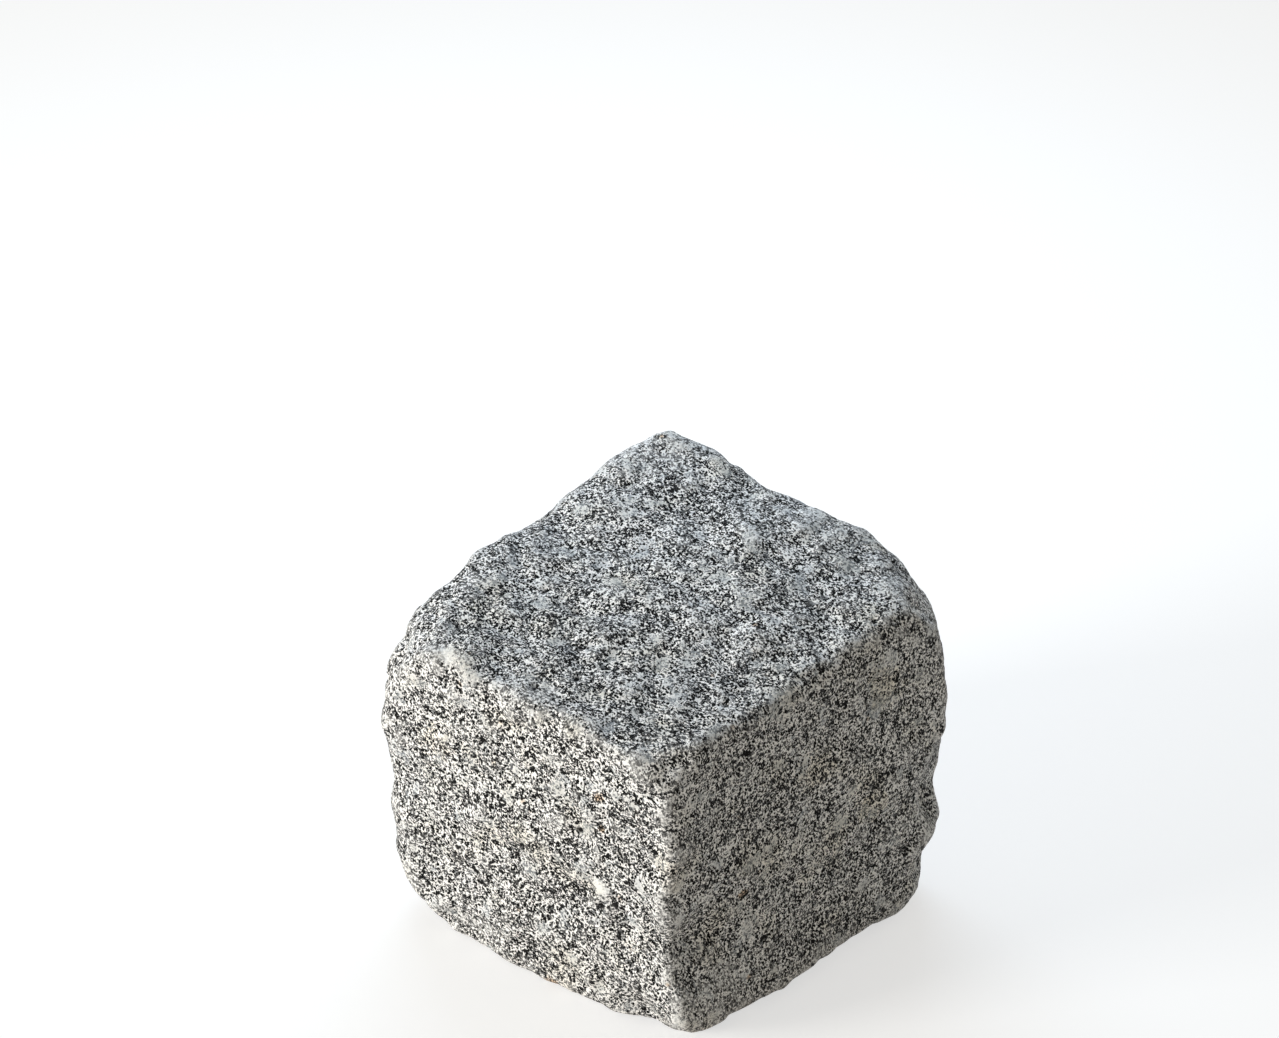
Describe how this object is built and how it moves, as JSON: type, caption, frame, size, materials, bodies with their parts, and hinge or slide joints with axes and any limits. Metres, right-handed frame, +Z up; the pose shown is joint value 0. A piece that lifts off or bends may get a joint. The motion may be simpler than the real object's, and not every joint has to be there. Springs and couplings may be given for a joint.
{
  "type": "cobblestone",
  "caption": "Roughly cubic paving stone of fine-grained grey granite, hand-dressed and tumbled, with rounded edges, worn corners and a flat base.",
  "frame": {"origin": "on the flat base, under the middle of the block's outline", "axes": "+Z up through the worn top face, -Y out of the front face, +X out of the right face"},
  "size_m": [0.0982, 0.0964, 0.094],
  "materials": {
    "granite": "rough tumbled granite, grey with black and white grains"
  },
  "bodies": {
    "root": {"cobblestone": "granite"}
  },
  "joints": []
}
